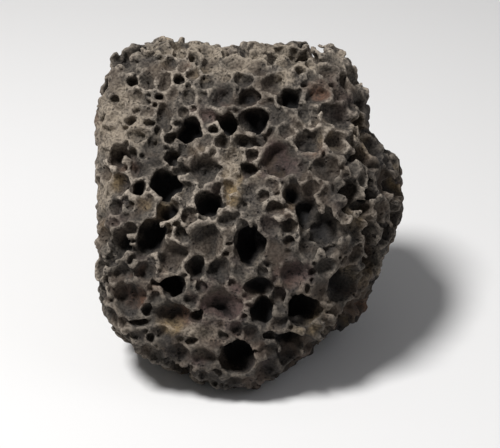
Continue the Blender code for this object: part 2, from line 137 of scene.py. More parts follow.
@dataclass(frozen=True)
class Hull:
    """The stone without its bubbles: a rounded block with flattish breaks that rests on one more.

    Attributes:
        heart_height: height of the point that everything is measured from.
        heart_below_face_middle: how far that point lies below the middle of the leaning show face.
        outline: (across, up) of the stone's outline from the face's middle, seen straight at the face.
        outline_smoothing: angle on each side over which the outline is averaged, in radians.
        outline_depth: half depth of the ellipsoid whose rim is the outline.
        outline_turn: how far the outline turns along its depth, in radians.
        facets: across, up and out of each break's normal, and its distance from the heart.
        edge_sharpness: power of the mean that rounds the edges between breaks.
        swells: how many broad waves there are, the share each adds, and the length of one.
        swell_seed: what draws the waves' directions and starts.
        search: how far behind and in front of the heart's plane the show side is looked for.
        halvings: how often that interval is halved.
    """

    heart_height: float = 21.0
    heart_below_face_middle: float = 0.6
    outline: tuple[tuple[float, float], ...] = (
        (-24.5, 20.4), (-21.8, 25.8), (-19.0, 28.2), (-13.3, 29.6), (-4.8, 28.9), (5.4, 28.6), (10.5, 29.6),
        (12.9, 28.6), (15.6, 27.2), (18.0, 23.8), (19.7, 20.4), (19.9, 17.0), (20.6, 14.3), (22.8, 11.6),
        (25.2, 8.8), (25.0, 4.0), (25.2, -2.0), (23.8, -4.4), (22.8, -7.5), (21.1, -11.6), (19.4, -15.6),
        (17.7, -18.4), (14.6, -19.4), (11.6, -21.4), (8.5, -23.4), (6.5, -25.5), (3.4, -28.6),
        (-1.4, -28.9), (-4.8, -29.6), (-8.2, -27.9), (-11.5, -26.2), (-15.0, -25.5), (-18.7, -22.6),
        (-21.4, -20.4), (-23.1, -17.7), (-24.1, -15.0), (-24.5, -9.2), (-24.8, 1.0), (-25.2, 6.1),
        (-25.5, 11.9), (-25.6, 15.5),
    )
    outline_smoothing: float = 0.05
    outline_depth: float = 58.0
    outline_turn: float = 0.2
    facets: tuple[tuple[float, float, float, float], ...] = (
        (-0.10, 0.30, 0.95, 17.6), (-0.05, -0.15, 0.99, 18.3), (0.05, -0.66, 0.75, 26.5),
        (-0.80, 0.05, 0.60, 26.6), (0.70, 0.30, 0.65, 23.6), (0.72, -0.25, 0.65, 23.0),
        (0.00, 0.87, 0.50, 27.0), (-0.60, 0.20, -0.77, 23.5), (0.50, 0.25, -0.83, 21.5),
        (0.10, -0.30, -0.95, 21.0), (0.00, 0.75, -0.66, 25.0), (-0.70, -0.40, -0.60, 25.0),
        (0.70, -0.35, -0.62, 25.0),
    )
    edge_sharpness: float = 20.0
    swells: tuple[int, float, float] = (9, 0.0065, 19.0)
    swell_seed: int = 14
    search: tuple[float, float] = (-10.0, 45.0)
    halvings: int = 40

    @property
    def heart(self) -> np.ndarray:
        """The point that everything is measured from."""
        return np.array([0.0, 0.0, self.heart_height])

    def outline_reach(self, angles: np.ndarray) -> np.ndarray:
        """Reads the outline's distance from the heart, averaged over three neighbouring angles.

        Args:
            angles: turned from across towards up, in radians.

        Returns:
            Distances in mm.
        """
        across, up = np.array(self.outline).T
        up = up + self.heart_below_face_middle
        bearings, distances = np.arctan2(up, across), np.hypot(across, up)
        order = np.argsort(bearings)
        bearings, distances = bearings[order], distances[order]
        turns = (-self.outline_smoothing, 0.0, self.outline_smoothing)
        reads = [np.interp(angles + turn, bearings, distances, period=2 * math.pi) for turn in turns]
        return sum(reads) / len(turns)

    def swelling(self, directions: np.ndarray) -> np.ndarray:
        """Adds up a few broad cosine waves over the stone.

        Args:
            directions: unit vectors from the heart, one a row.

        Returns:
            The share that the waves add to the reach.
        """
        count, share, length = self.swells
        rng = np.random.default_rng(self.swell_seed)
        ways = rng.normal(size=(count, 3))
        ways *= 2 * math.pi * self.heart_height / length / np.linalg.norm(ways, axis=1, keepdims=True)
        starts = rng.uniform(0, 2 * math.pi, count)
        return share * np.cos(directions @ ways.T + starts).sum(axis=1)

    def reach(self, directions: np.ndarray) -> np.ndarray:
        """Works out how far the stone reaches, before it is cut flat below.

        One break alone would stop a ray at distance / cosine. The outline is the rim of a deep ellipsoid
        that turns a little along its depth. The power mean of all of them follows the nearest and rounds
        the edges.

        Args:
            directions: unit vectors from the heart, one a row.

        Returns:
            Distances in mm.
        """
        rows = np.array(self.facets)
        leaning = directions @ LEANING
        across, up, out = leaning.T
        closeness = np.clip(leaning @ unit(rows[:, :3]).T, 0.0, None) / rows[:, 3]
        rim = self.outline_reach(np.arctan2(up, across) + self.outline_turn * out)
        rim_closeness = np.sqrt((across**2 + up**2) / rim**2 + out**2 / self.outline_depth**2)
        total = (closeness**self.edge_sharpness).sum(axis=1) + rim_closeness**self.edge_sharpness
        return total ** (-1.0 / self.edge_sharpness) * (1.0 + self.swelling(directions))

    def beyond(self, points: np.ndarray) -> np.ndarray:
        """Measures how far points lie beyond the uncut hull, along the line from the heart.

        Args:
            points: places in mm, one a row.

        Returns:
            Distances in mm, negative inside.
        """
        spokes = points - self.heart
        lengths = np.maximum(np.linalg.norm(spokes, axis=1), SMALL)
        return lengths - self.reach(spokes / lengths[:, None])

    def gap(self, points: np.ndarray) -> np.ndarray:
        """Measures how far points lie outside the stone, cut flat below, negative inside, in mm."""
        return np.maximum(self.beyond(points), -points[:, 2])

    def normals(self, points: np.ndarray, step: float = 0.4) -> np.ndarray:
        """Takes outward unit normals from the slope of the gap over a step each way."""
        slopes = [self.gap(points + step * axis) - self.gap(points - step * axis) for axis in np.eye(3)]
        return unit(np.stack(slopes, axis=1))

    def on_show_side(self, across: np.ndarray, up: np.ndarray) -> np.ndarray:
        """Finds where lines coming straight at the show face first meet the stone, by halving the interval.

        Args:
            across: distances right of the face's middle.
            up: distances above it, up the face.

        Returns:
            Points on the hull in mm, one a row.
        """
        foot = self.heart + np.outer(across, ACROSS) + np.outer(up + self.heart_below_face_middle, UP)
        inner, outer = (np.full(len(foot), end) for end in self.search)
        for _ in range(self.halvings):
            middle = (inner + outer) / 2
            inside = self.gap(foot + middle[:, None] * OUT) < 0
            inner, outer = np.where(inside, middle, inner), np.where(inside, outer, middle)
        return foot + inner[:, None] * OUT

    def along(self, directions: np.ndarray) -> np.ndarray:
        """Finds where rays from the heart leave the stone, through the hull or the flat below, in mm."""
        down = np.clip(-directions[:, 2], SMALL, None)
        return self.heart + directions * np.minimum(self.reach(directions), self.heart_height / down)[:, None]


class Stain(Enum):
    """Kinds of discoloured patch."""

    CRUST = "crust"
    MAUVE = "mauve"
    OCHRE = "ochre"
    RUST = "rust"


# Strength of a patch in its middle, before it is held to 1
PATCH_PEAK = 1.6
# How far in front of the heart's plane the show side's patches are whole
SHOW_FADE = 4.0
# Patches on the show side: (across, up, half width, half height) in the leaning plane
PATCHES = {
    Stain.CRUST: (
        (-21.0, 14.5, 3.6, 4.4), (-9.0, 26.5, 6.0, 1.7), (2.5, 26.0, 6.0, 2.0), (-3.0, 22.5, 2.4, 1.4),
        (9.0, 24.5, 2.0, 1.8), (-2.7, 8.0, 1.2, 2.6), (-23.0, 3.0, 1.2, 2.4), (17.0, 12.5, 1.0, 1.4),
        (-8.5, -18.7, 1.6, 0.9), (5.5, 21.5, 1.2, 1.2),
    ),
    Stain.MAUVE: (
        (-4.4, -14.3, 3.5, 3.0), (6.5, -9.7, 2.5, 2.5), (-6.5, 15.6, 2.2, 2.0), (4.1, 8.5, 3.2, 2.7),
    ),
    Stain.OCHRE: ((-2.7, 4.4, 1.2, 2.6), (-12.2, -17.2, 1.6, 1.2), (-20.9, 4.8, 1.1, 1.1)),
    Stain.RUST: ((10.5, 18.7, 1.7, 1.7), (-11.0, -16.0, 2.0, 1.4), (-18.0, -13.0, 1.6, 1.4)),
}


def shown_share(hull: Hull, points: np.ndarray) -> np.ndarray:
    """Works out how far points belong to the show side: not at all behind the heart's plane, then wholly."""
    return np.clip((points - hull.heart) @ OUT / SHOW_FADE, 0.0, 1.0)


def stain_share(hull: Hull, stain: Stain, points: np.ndarray) -> np.ndarray:
    """Works out how much of a stain's patches there is at points, before they are made ragged.

    Each is an oval cone: its peak in the middle, less the distance from there over the patch's half sizes.

    Args:
        hull: the stone's hull, which the patches lie on.
        stain: which kind.
        points: places in mm.

    Returns:
        One value a point, from 0 to the peak.
    """
    leaning = (points - hull.heart) @ LEANING
    total = np.zeros(len(points), np.float32)
    for across, up, half_width, half_height in PATCHES[stain]:
        u = (leaning[:, 0] - across) / half_width
        v = (leaning[:, 1] - hull.heart_below_face_middle - up) / half_height
        total = np.maximum(total, PATCH_PEAK - np.sqrt(u**2 + v**2))
    return total * shown_share(hull, points)


@dataclass
class Vesicles:
    """Gas bubbles, each an ellipsoid with a row in every array.

    Attributes:
        centres: middles in mm.
        turns: the three unit axes of each, as columns.
        halves: half lengths along those axes.
    """

    centres: np.ndarray
    turns: np.ndarray
    halves: np.ndarray

    def joined(self, other: "Vesicles") -> "Vesicles":
        """Puts two lots of bubbles together."""
        pairs = ((self.centres, other.centres), (self.turns, other.turns), (self.halves, other.halves))
        return Vesicles(*[np.concatenate(pair) for pair in pairs])


@dataclass
class Froth:
    """Where the gas bubbles lie: set out on the show side, and scattered over the rest.

    Attributes:
        hull: the stone that they open on.
        mouth_growth: how much wider each kind's rim is than the size set out.
        collar_growth: how much wider the worn collar round a deep bubble is than its mouth.
        scatter_sizes: mouth radius and the most of each, large ones first.
        scatter_tries: how many places are tried for each size.
        scatter_seed: what draws those places.
        crowding: least distance between two bubbles over the sum of their radii.
        kind_shares: how often each kind comes up in the scatter.
        stretches: least and most that a scattered or small bubble's mouth is stretched sideways.
        rest_mark_radius: clear round patch in the middle of the resting face.
        fill_sizes: mouth radii of the small bubbles that fill the gaps, large ones first.
        fill_tries: how many places are tried for those.
        wall: least thickness of the wall between one of those and its neighbours.
        fill_shares: how often each kind comes up among those.
        pinhole_below: mouth radius below which a bubble is always a deep one.
        crust_from, crust_radius: share of crust from which mouths stay small, and the largest there.
        deep_room, open_room: depth over the mouth's radius at which a deep or an open bubble needs stone.
        cover_needed: least distance from there to the surface over that depth.
        lobe_from: mouth radius from which a bubble has merged with smaller ones in its wall.
        lobes, lobe_share: how many of those it has, and their radii over its own.
        lobe_place: how far from its middle those have theirs, over its half size.
        pinholes, pinhole_radius: how many fine holes there are in its wall, and their radii.
        lobe_seed: what draws both.
        end_on: a mouth whose width would point so nearly along its normal takes another direction.
        points, mouths, kinds: place on the hull, half width and height of the mouth, and kind of each.
    """

    hull: Hull
    mouth_growth: tuple[float, ...] = (0.94, 1.08, 1.06)
    collar_growth: float = 1.2
    scatter_sizes: tuple[tuple[float, int], ...] = ((2.7, 26), (2.2, 55), (1.7, 80))
    scatter_tries: int = 3000
    scatter_seed: int = 11
    crowding: float = 0.98
    kind_shares: tuple[float, ...] = (0.35, 0.40, 0.25)
    stretches: tuple[float, float] = (0.85, 1.18)
    rest_mark_radius: float = 4.0
    fill_sizes: tuple[float, ...] = (2.1, 1.75, 1.45, 1.2, 1.0, 0.82, 0.66, 0.52, 0.42, 0.34)
    fill_tries: int = 30000
    wall: float = 0.22
    fill_shares: tuple[float, ...] = (0.35, 0.50, 0.15)
    pinhole_below: float = 0.85
    crust_from: float = 0.6
    crust_radius: float = 0.9
    deep_room: float = 2.6
    open_room: float = 1.8
    cover_needed: float = 0.8
    lobe_from: float = 1.2
    lobes: int = 3
    lobe_share: tuple[float, float] = (0.2, 0.45)
    lobe_place: float = 0.82
    pinholes: int = 4
    pinhole_radius: tuple[float, float] = (0.28, 0.5)
    lobe_seed: int = 12
    end_on: float = 0.2
    points: np.ndarray = field(init=False)
    mouths: np.ndarray = field(init=False)
    kinds: list[VesicleKind] = field(init=False)

    def __post_init__(self) -> None:
        """Sets out the show side's bubbles, then scatters the others."""
        points, mouths, self.kinds = [], [], []
        for growth, (kind, rows) in zip(self.mouth_growth, SHOW_SIDE_VESICLES.items()):
            across, up, half_width, half_height = np.array(rows).T
            points.append(self.hull.on_show_side(across, up))
            mouths.append(growth * np.array([half_width, half_height]).T)
            self.kinds += [kind] * len(rows)
        self.points, self.mouths = np.concatenate(points), np.concatenate(mouths)
        rng = np.random.default_rng(self.scatter_seed)
        for radius, most in self.scatter_sizes:
            self.scatter(radius, most, rng)
        self.fill(rng)
        self.settle_kinds()
        # A worn collar is a wide, shallow bubble over the mouth of a deep one
        deep = [number for number, kind in enumerate(self.kinds) if kind is VesicleKind.DEEP]
        self.points = np.concatenate([self.points, self.points[deep]])
        self.mouths = np.concatenate([self.mouths, self.collar_growth * self.mouths[deep]])
        self.kinds += [VesicleKind.COLLAR] * len(deep)

    def scatter(self, radius: float, most: int, rng: np.random.Generator) -> None:
        """Drops bubbles of one size wherever they fit between those already there.

        Args:
            radius: mean radius of the mouth.
            most: how many to add at most.
            rng: what draws the places, stretches and kinds.
        """
        directions = random_directions(rng, self.scatter_tries)
        stretches = rng.uniform(*self.stretches, self.scatter_tries)
        choices = rng.choice(len(KINDS), self.scatter_tries, p=self.kind_shares)
        # After the bubbles that are there comes the middle of the resting face, which stays clear
        centres = np.concatenate([self.points, np.zeros((1 + most, 3))])
        radii = np.concatenate([self.mouths.mean(axis=1), [self.rest_mark_radius], np.full(most, radius)])
        start = len(self.points) + 1
        filled = start
        kept = []
        for number, point in enumerate(self.hull.along(directions)):
            apart = np.linalg.norm(centres[:filled] - point, axis=1)
            if (apart >= self.crowding * (radii[:filled] + radius)).all():
                centres[filled] = point
                kept.append(number)
                filled += 1
                if filled == start + most:
                    break
        self.points = np.concatenate([self.points, centres[start:filled]])
        mouths = np.stack([radius * stretches[kept], radius / stretches[kept]], axis=1)
        self.mouths = np.concatenate([self.mouths, mouths])
        self.kinds += [KINDS[choices[number]] for number in kept]

    def fill(self, rng: np.random.Generator) -> None:
        """Packs small bubbles into the gaps, one size after the other, until no more of that size fit.

        Args:
            rng: what draws the places, stretches and kinds.
        """
        places = self.hull.along(random_directions(rng, self.fill_tries))
        room = np.linalg.norm(places, axis=1) - self.rest_mark_radius
        for point, radius in zip(self.points, self.mouths.mean(axis=1)):
            room = np.minimum(room, np.linalg.norm(places - point, axis=1) - radius - self.wall)
        crusted = stain_share(self.hull, Stain.CRUST, places) > self.crust_from
        most = np.where(crusted, self.crust_radius, np.inf)
        points, mouths = [], []
        for size in self.fill_sizes:
            while True:
                free = np.flatnonzero((room >= size) & (most >= size))
                if not len(free):
                    break
                place = places[rng.choice(free)]
                stretch = rng.uniform(*self.stretches)
                points.append(place)
                mouths.append((size * stretch, size / stretch))
                kind = KINDS[rng.choice(len(KINDS), p=self.fill_shares)]
                self.kinds.append(VesicleKind.DEEP if size < self.pinhole_below else kind)
                room = np.minimum(room, np.linalg.norm(places - place, axis=1) - size - self.wall)
        self.points = np.concatenate([self.points, points])
        self.mouths = np.concatenate([self.mouths, mouths])

    def settle_kinds(self) -> None:
        """Makes bubbles shallower where the stone is too thin behind them, as next to its sharp edges."""
        normals = self.hull.normals(self.points)
        radii = self.mouths.mean(axis=1)
        for kind, instead, depth in (
            (VesicleKind.DEEP, VesicleKind.OPEN, self.deep_room),
            (VesicleKind.OPEN, VesicleKind.DISH, self.open_room),
        ):
            cover = -self.hull.gap(self.points - normals * (depth * radii)[:, None])
            for number in np.flatnonzero(cover < self.cover_needed * depth * radii):
                if self.kinds[number] is kind:
                    self.kinds[number] = instead

    def bubbles(self) -> Vesicles:
        """Turns every mouth into the bubble that opens there.

        The mouth is where the surface cuts the ellipsoid, so with its middle lifted by a share of its
        height, its half sizes are the mouth's over the square root of one less that share squared.

        Returns:
            The bubbles, with the lobes of the larger ones.
        """
        slenderness = np.array([kind.slenderness for kind in self.kinds])
        lift = np.array([kind.lift for kind in self.kinds])
        heights = slenderness * self.mouths.mean(axis=1)
        normals = self.hull.normals(self.points)
        sideways = ACROSS - normals * (normals @ ACROSS)[:, None]
        end_on = np.linalg.norm(sideways, axis=1) < self.end_on
        sideways[end_on] = UP - normals[end_on] * (normals[end_on] @ UP)[:, None]
        sideways = unit(sideways)
        turns = np.stack([sideways, np.cross(normals, sideways), normals], axis=2)
        across = self.mouths / np.sqrt(1.0 - lift**2)[:, None]
        halves = np.concatenate([across, heights[:, None]], axis=1)
        whole = Vesicles(self.points + normals * (lift * heights)[:, None], turns, halves)
        return whole.joined(self.lobes_of(whole))

    def lobes_of(self, whole: Vesicles) -> Vesicles:
        """Adds smaller bubbles that have merged into the walls of the larger ones, and pinholes there.

        Args:
            whole: the bubbles they may merge into.

        Returns:
            Round bubbles centred near the walls, in the half that lies inside the stone.
        """
        rng = np.random.default_rng(self.lobe_seed)
        large = np.flatnonzero(self.mouths.mean(axis=1) > self.lobe_from)
        large = large[[self.kinds[number] is not VesicleKind.COLLAR for number in large]]
        hosts = np.repeat(large, self.lobes + self.pinholes)
        is_lobe = np.arange(len(hosts)) % (self.lobes + self.pinholes) < self.lobes
        ways = random_directions(rng, len(hosts))
        ways[:, 2] = -np.abs(ways[:, 2])
        reach = np.where(is_lobe, self.lobe_place, 1.0)[:, None]
        offsets = np.einsum("nij,nj->ni", whole.turns[hosts], ways * whole.halves[hosts] * reach)
        lobe_radii = rng.uniform(*self.lobe_share, len(hosts)) * whole.halves[hosts].mean(axis=1)
        radii = np.where(is_lobe, lobe_radii, rng.uniform(*self.pinhole_radius, len(hosts)))
        halves = np.repeat(radii[:, None], 3, axis=1)
        return Vesicles(whole.centres[hosts] + offsets, whole.turns[hosts], halves)


@dataclass(frozen=True)
class Grid:
    """Evenly spaced points that fill a box.

    Attributes:
        low: lowest corner in mm.
        high: highest corner in mm.
        pitch: distance between neighbours in mm.
    """

    low: tuple[float, float, float]
    high: tuple[float, float, float]
    pitch: float

    @property
    def shape(self) -> tuple[int, ...]:
        """How many points there are along each axis."""
        return tuple(int(math.ceil((b - a) / self.pitch)) + 1 for a, b in zip(self.low, self.high))

    def axes(self) -> list[np.ndarray]:
        """The points' places along each axis, in mm."""
        return [a + self.pitch * np.arange(n) for a, n in zip(self.low, self.shape)]

    def spread(self, lattice: np.ndarray, cell: float) -> np.ndarray:
        """Draws a coarse lattice smoothly over the grid, along each axis in turn.

        Each fine point takes four coarse neighbours, weighted by the cubic B-spline of its place among them.

        Args:
            lattice: values at points a cell apart, the first one cell before the grid's lowest corner.
            cell: distance between lattice points in mm.

        Returns:
            Values at the grid's points.
        """
        values = lattice.astype(np.float32)
        for axis, count in enumerate(self.shape):
            place = np.arange(count) * self.pitch / cell
            first = np.floor(place).astype(int)
            t = (place - first).astype(np.float32)
            weights = ((1 - t) ** 3, 3 * t**3 - 6 * t**2 + 4, -3 * t**3 + 3 * t**2 + 3 * t + 1, t**3)
            values = sum(
                np.take(values, first + offset, axis=axis) * along_axis(weight / 6, axis)
                for offset, weight in enumerate(weights)
            )
        return values

    def lattice_shape(self, cell: float) -> tuple[int, ...]:
        """How many lattice points spread needs along each axis."""
        return tuple(int((n - 1) * self.pitch / cell) + 5 for n in self.shape)

    def noise(self, cell: float, rng: np.random.Generator) -> np.ndarray:
        """Makes smooth noise with bumps about two cells wide, and a standard deviation of 1."""
        values = self.spread(rng.normal(size=self.lattice_shape(cell)), cell)
        return values / values.std()

    def filled(self, values: np.ndarray) -> np.ndarray:
        """Works out how much of each point's own cell is stone, from signed distances."""
        return np.clip(0.5 - values / self.pitch, 0.0, 1.0)

    def blurred(self, values: np.ndarray, reach: float) -> np.ndarray:
        """Averages values around each point, weighted by a bell curve along each axis in turn.

        Args:
            values: one for each grid point.
            reach: the bell curve's standard deviation in mm.

        Returns:
            The averages.
        """
        widest = int(math.ceil(3 * reach / self.pitch))
        offsets = np.arange(-widest, widest + 1)
        weights = np.exp(-0.5 * (offsets * self.pitch / reach) ** 2)
        weights = (weights / weights.sum()).astype(np.float32)
        for axis, count in enumerate(self.shape):
            padding = [(widest, widest) if other == axis else (0, 0) for other in range(3)]
            padded = np.pad(values, padding, mode="edge")
            values = np.zeros(self.shape, np.float32)
            for start, weight in enumerate(weights):
                window = [slice(None)] * 3
                window[axis] = slice(start, start + count)
                values += weight * padded[tuple(window)]
        return values

    def sampled(self, values: np.ndarray, points: np.ndarray) -> np.ndarray:
        """Reads values between the grid's points, as the mean of the eight neighbours weighted by nearness.

        Args:
            values: one for each grid point.
            points: places in mm, one a row.

        Returns:
            One value for each place.
        """
        steps = (points - np.array(self.low)) / self.pitch
        cells = np.clip(np.floor(steps).astype(int), 0, np.array(self.shape) - 2)
        share = (steps - cells).astype(np.float32)
        total = np.zeros(len(points), np.float32)
        for corner in np.ndindex(2, 2, 2):
            weight = np.prod(np.where(corner, share, 1.0 - share), axis=1)
            total += weight * values[tuple((cells + corner).T)]
        return total


def along_axis(line: np.ndarray, axis: int) -> np.ndarray:
    """Shapes a line of numbers so that it multiplies a block along one axis."""
    return np.expand_dims(line, [other for other in range(3) if other != axis])


def smooth_max(a: np.ndarray, b: np.ndarray, reach: float) -> np.ndarray:
    """Takes the larger of two fields, rounded off where they come within reach of each other."""
    share = np.clip(0.5 + 0.5 * (a - b) / reach, 0.0, 1.0)
    return b + (a - b) * share + reach * share * (1.0 - share)


@dataclass
class StoneField:
    """Signed distances from the stone's skin, negative inside, in mm.

    Attributes:
        hull: the stone without its bubbles.
        froth: its bubbles.
        grid: where the distances are worked out.
        hull_cell: how coarsely the hull alone is worked out before it is drawn smoothly over the grid.
        warps: cell of the noise that bends the bubbles, and how far it bends them.
        reliefs: cell and height of the noise on the breaks between bubbles.
        wall_relief: cell and height of the noise inside bubbles.
        bubble_margin, bubble_far: how far round it a bubble is worked out, and the distance beyond that.
        rim_rounding: how wide the rims are rounded.
        flake_reach, flake_share: what has less than this share of stone in that reach has broken off.
        rest_relief: cell and height of the noise on the resting face.
        rest_clearance: how many such heights its middle level lies above the ground.
        wear: over what distance everything is worn smooth.
        weathered: how much the breaks have lost all over.
        seed: what draws the noise.
        beyond: distance from the uncut hull at each grid point.
        values: distance from the finished skin at each grid point.
    """

    hull: Hull
    froth: Froth
    grid: Grid
    hull_cell: float = 1.0
    warps: tuple[tuple[float, float], ...] = ((1.8, 0.24), (0.8, 0.09))
    reliefs: tuple[tuple[float, float], ...] = ((3.2, 0.20), (1.5, 0.22), (0.6, 0.17))
    wall_relief: tuple[float, float] = (0.45, 0.095)
    bubble_margin: float = 1.0
    bubble_far: float = 2.0
    rim_rounding: float = 0.25
    flake_reach: float = 0.45
    flake_share: float = 0.27
    rest_relief: tuple[float, float] = (1.2, 0.06)
    rest_clearance: float = 2.5
    wear: float = 0.12
    weathered: float = 0.15
    seed: int = 3
    beyond: np.ndarray = field(init=False)
    values: np.ndarray = field(init=False)

    def __post_init__(self) -> None:
        """Works the field out."""
        rng = np.random.default_rng(self.seed)
        self.beyond = self.hull_field()
        bubbles = self.bubble_field(self.froth.bubbles(), rng)
        cell, height = self.wall_relief
        bubbles += height * self.grid.noise(cell, rng)
        breaks = self.beyond + self.weathered
        breaks += sum(height * self.grid.noise(cell, rng) for cell, height in self.reliefs)
        values = smooth_max(breaks, -bubbles, self.rim_rounding)
        cell, height = self.rest_relief
        heights = self.grid.axes()[2].astype(np.float32)[None, None, :]
        floor = height * (self.rest_clearance + self.grid.noise(cell, rng)) - heights
        values = smooth_max(values, floor, self.rim_rounding)
        held = self.grid.blurred(self.grid.filled(values), self.flake_reach)
        values = np.maximum(values, (self.flake_share - held) * self.flake_reach)
        self.values = self.grid.blurred(values, self.wear)

    def hull_field(self) -> np.ndarray:
        """Works out the gap to the uncut hull on a coarse lattice and draws it smoothly over the grid.

        Returns:
            Distances in mm at the grid's points.
        """
        counts = self.grid.lattice_shape(self.hull_cell)
        lines = [a + self.hull_cell * (np.arange(n) - 1) for a, n in zip(self.grid.low, counts)]
        points = np.stack(np.meshgrid(*lines, indexing="ij"), axis=-1).reshape(-1, 3)
        return self.grid.spread(self.hull.beyond(points).reshape(counts), self.hull_cell)

    def bubble_field(self, bubbles: Vesicles, rng: np.random.Generator) -> np.ndarray:
        """Works out the distance from the nearest bubble, negative inside it.

        For one ellipsoid, k is the length of the point's place over the half sizes, and g that of its place
        over their squares: the distance is about k * (k - 1) / g. Each is worked out in a window round it.

        Args:
            bubbles: what to measure from.
            rng: what draws the noise that bends the bubbles.

        Returns:
            Distances in mm at the grid's points.
        """
        places = list(np.meshgrid(*[line.astype(np.float32) for line in self.grid.axes()], indexing="ij"))
        for cell, reach in self.warps:
            for place in places:
                place += reach * self.grid.noise(cell, rng)
        nearest = np.full(self.grid.shape, self.bubble_far, np.float32)
        margins = bubbles.halves.max(axis=1, keepdims=True) + self.bubble_margin
        starts = np.floor((bubbles.centres - margins - self.grid.low) / self.grid.pitch).astype(int)
        stops = np.ceil((bubbles.centres + margins - self.grid.low) / self.grid.pitch).astype(int) + 1
        windows = zip(*[np.clip(ends, 0, self.grid.shape) for ends in (starts, stops)])
        rows = zip(*[part.astype(np.float32) for part in (bubbles.centres, bubbles.turns, bubbles.halves)])
        for (start, stop), (centre, turn, halves) in zip(windows, rows):
            window = tuple(map(slice, start, stop))
            local = (np.stack([place[window] for place in places], axis=-1) - centre) @ turn / halves
            k = np.sqrt((local**2).sum(axis=-1))
            g = np.sqrt(((local / halves) ** 2).sum(axis=-1))
            nearest[window] = np.minimum(nearest[window], k * (k - 1.0) / np.maximum(g, SMALL))
        return nearest


@dataclass
class Skin:
    """The surface where a field is nought, as points and four-sided faces.

    Attributes:
        grid: where the field is known.
        values: the field.
        points: the surface's points in mm.
        faces: four point numbers a row, facing towards the positive side.
    """

    grid: Grid
    values: np.ndarray
    points: np.ndarray = field(init=False)
    faces: np.ndarray = field(init=False)

    def __post_init__(self) -> None:
        """Draws the surface and keeps its largest body."""
        inside = self.values < 0
        corners = list(np.ndindex(2, 2, 2))
        cell_shape = tuple(n - 1 for n in self.grid.shape)
        filled = sum(inside[self.shifted(corner, cell_shape)].astype(np.int8) for corner in corners)
        cells = np.argwhere((filled > 0) & (filled < 8))
        numbers = np.full(cell_shape, -1, np.int32)
        numbers[tuple(cells.T)] = np.arange(len(cells))
        self.points = self.crossing_points(cells, corners)
        self.faces = np.concatenate([self.faces_across(inside, numbers, axis) for axis in range(3)])
        self.keep_largest()

    @staticmethod
    def shifted(corner: tuple[int, ...], shape: tuple[int, ...]) -> tuple[slice, ...]:
        """Slices that take one corner of every cell."""
        return tuple(slice(c, c + n) for c, n in zip(corner, shape))

    def crossing_points(self, cells: np.ndarray, corners: list[tuple[int, ...]]) -> np.ndarray:
        """Puts one point in each cell, at the mean of the places where the surface crosses its twelve edges.

        Args:
            cells: place of each cell that the surface goes through, counted in cells.
            corners: the eight corners of a cell.

        Returns:
            Points in mm.
        """
        values = [self.values[tuple((cells + corner).T)] for corner in corners]
        total, count = np.zeros((len(cells), 3)), np.zeros(len(cells))
        for a, corner in enumerate(corners):
            for axis in range(3):
                if corner[axis]:
                    continue
                # In the order of the corners, a step along x, y or z is 4, 2 or 1 further on
                b = a + (4, 2, 1)[axis]
                crossed = (values[a] < 0) != (values[b] < 0)
                difference = np.where(crossed, values[a] - values[b], 1.0)
                place = np.tile(np.array(corner, float), (len(cells), 1))
                place[:, axis] = values[a] / difference
                total[crossed] += place[crossed]
                count += crossed
        return np.array(self.grid.low) + (cells + total / count[:, None]) * self.grid.pitch

    def faces_across(self, inside: np.ndarray, numbers: np.ndarray, axis: int) -> np.ndarray:
        """Makes a face across each grid edge along one axis that the surface crosses, from its four cells.

        Args:
            inside: whether each grid point is inside.
            numbers: the surface point of each cell, or -1.
            axis: which way the edges run.

        Returns:
            Four point numbers a row.
        """
        u, v = (axis + 1) % 3, (axis + 2) % 3
        before, after = [slice(None)] * 3, [slice(None)] * 3
        before[axis], after[axis] = slice(0, -1), slice(1, None)
        starts, ends = inside[tuple(before)], inside[tuple(after)]
        edges = np.argwhere(starts != ends)
        edges = edges[(edges[:, u] > 0) & (edges[:, v] > 0)]
        edges = edges[(edges[:, u] < numbers.shape[u]) & (edges[:, v] < numbers.shape[v])]
        leaving = starts[tuple(edges.T)]
        ring = []
        for du, dv in ((-1, -1), (0, -1), (0, 0), (-1, 0)):
            cell = edges.copy()
            cell[:, u] += du
            cell[:, v] += dv
            ring.append(numbers[tuple(cell.T)])
        faces = np.stack(ring, axis=1)
        faces[~leaving] = faces[~leaving][:, ::-1]
        return faces

    def keep_largest(self) -> None:
        """Drops crumbs and closed bubbles: points take their neighbours' lowest number until bodies agree."""
        labels = np.arange(len(self.points))
        pairs = np.concatenate([self.faces[:, [side, (side + 1) % 4]] for side in range(4)])
        while True:
            lowest = labels.copy()
            first, second = labels[pairs].T
            shared = np.minimum(first, second)
            np.minimum.at(lowest, first, shared)
            np.minimum.at(lowest, second, shared)
            lowest = lowest[lowest][labels]
            if (lowest == labels).all():
                break
            labels = lowest
        kept = labels == np.bincount(labels).argmax()
        numbers = np.cumsum(kept) - 1
        self.faces = numbers[self.faces[kept[self.faces[:, 0]]]]
        self.points = self.points[kept]


Tree, Node, Socket = bpy.types.NodeTree, bpy.types.Node, bpy.types.NodeSocket
# A pattern's values at the start and the end of a slope, and what they become there
Grades = tuple[float, float, float, float]
EASED = {"interpolation_type": "SMOOTHSTEP"}


def srgb(code: str) -> tuple[float, float, float, float]:
    """Turns an sRGB hex colour into linear light.

    Each channel c becomes c / 12.92 when it is small, or ((c + 0.055) / 1.055) to the power 2.4.

    Args:
        code: the colour, such as #37332e.

    Returns:
        Red, green, blue and an alpha of 1.
    """
    channels = [int(code[i : i + 2], 16) / 255 for i in (1, 3, 5)]
    linear = [c / 12.92 if c <= 0.04045 else ((c + 0.055) / 1.055) ** 2.4 for c in channels]
    return (*linear, 1.0)


